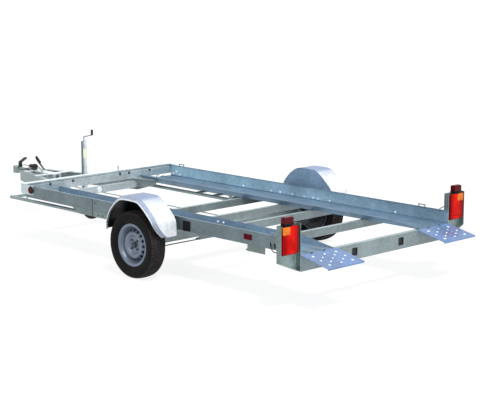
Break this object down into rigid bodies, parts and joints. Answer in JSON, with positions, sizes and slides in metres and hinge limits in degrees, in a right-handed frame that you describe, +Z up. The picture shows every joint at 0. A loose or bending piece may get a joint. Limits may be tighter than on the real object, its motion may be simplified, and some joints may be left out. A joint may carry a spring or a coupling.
{
  "type": "car hauler trailer",
  "caption": "Single-axle galvanised car hauler trailer with open wheel tracks, V drawbar, overrun coupling, jockey wheel and ramps stowed below the tracks.",
  "frame": {"origin": "on the floor below the middle of the trailer's bounding box", "axes": "+X forward to the coupling, +Y to the trailer's left, +Z up"},
  "size_m": [5.354, 2.384, 0.92],
  "materials": {
    "galvanised_steel": "hot-dip galvanised sheet, dull with a faint sheen",
    "fender_zinc": "bright zinc-coated sheet",
    "cast_coupling": "zinc-plated steel and casting",
    "rim_silver": "silver paint",
    "hub_steel": "dark cast and pressed steel",
    "tyre_rubber": "matt black rubber",
    "black_rubber": "matt black rubber",
    "black_plastic": "matt black plastic",
    "lens_red": "clear glossy lens, red with an amber quarter",
    "marker_red": "dark red glossy lens",
    "marker_brown": "brown-orange lens"
  },
  "bodies": {
    "chassis": {"wheel_track_left": "galvanised_steel", "wheel_track_right": "galvanised_steel", "front_crossbar": "galvanised_steel", "crossbar_ends": "galvanised_steel", "front_member": "galvanised_steel", "cross_member_1": "galvanised_steel", "cross_member_2": "galvanised_steel", "cross_member_3": "galvanised_steel", "cross_member_4": "galvanised_steel", "member_feet": "galvanised_steel", "rear_crossbar": "galvanised_steel", "lamp_carriers": "galvanised_steel", "ramp_lip_left": "galvanised_steel", "ramp_lip_right": "galvanised_steel", "drawbar_leg_left": "galvanised_steel", "drawbar_leg_right": "galvanised_steel", "drawbar_nose": "galvanised_steel", "overrun_housing": "cast_coupling", "draw_tube": "cast_coupling", "bellows": "black_rubber", "coupling_head": "cast_coupling", "coupling_handle": "black_plastic", "hand_brake": "cast_coupling", "plug_holder": "black_plastic", "lighting_plug": "black_plastic", "axle_beam": "galvanised_steel", "swing_arms": "galvanised_steel", "brake_backplates": "hub_steel", "axle_brackets": "galvanised_steel", "side_aprons": "galvanised_steel", "brake_rod": "galvanised_steel", "brake_cables": "black_plastic", "fender_left": "fender_zinc", "fender_right": "fender_zinc", "tail_lamps": "lens_red", "marker_lamps": "marker_red", "side_reflectors": "marker_red", "front_markers": "marker_brown", "loading_ramp_left": "galvanised_steel", "loading_ramp_right": "galvanised_steel", "ramp_hangers": "galvanised_steel", "tie_loops": "galvanised_steel", "side_pads": "black_rubber", "mast_clamp": "galvanised_steel", "mast_tube": "galvanised_steel", "mast_crank": "galvanised_steel"},
    "wheel_left": {"hub_drum_left": "hub_steel", "wheel_rim_left": "rim_silver", "tyre_left": "tyre_rubber"},
    "wheel_right": {"hub_drum_right": "hub_steel", "wheel_rim_right": "rim_silver", "tyre_right": "tyre_rubber"},
    "jockey_slider": {"jockey_inner_tube": "galvanised_steel"},
    "jockey_swivel": {"jockey_fork": "galvanised_steel"},
    "jockey_roller": {"jockey_rim": "black_plastic", "jockey_tyre": "tyre_rubber"}
  },
  "joints": [
    {"name": "wheel_left_spin", "type": "hinge", "parent": "chassis", "child": "wheel_left", "pos_m": [-0.673, 1.163, 0.2875], "axis": [0, 1, 0], "continuous": true},
    {"name": "wheel_right_spin", "type": "hinge", "parent": "chassis", "child": "wheel_right", "pos_m": [-0.673, -1.163, 0.2875], "axis": [0, 1, 0], "continuous": true},
    {"name": "jockey_slide", "type": "slide", "parent": "chassis", "child": "jockey_slider", "axis": [0, 0, 1], "range_m": [-0.2, 0.055]},
    {"name": "jockey_swivel_turn", "type": "hinge", "parent": "jockey_slider", "child": "jockey_swivel", "pos_m": [1.732, -0.19886, 0.236], "axis": [0, 0, 1], "continuous": true},
    {"name": "jockey_roll", "type": "hinge", "parent": "jockey_swivel", "child": "jockey_roller", "pos_m": [1.66908, -0.22954, 0.1], "axis": [0.4384, -0.8988, 0], "continuous": true}
  ]
}
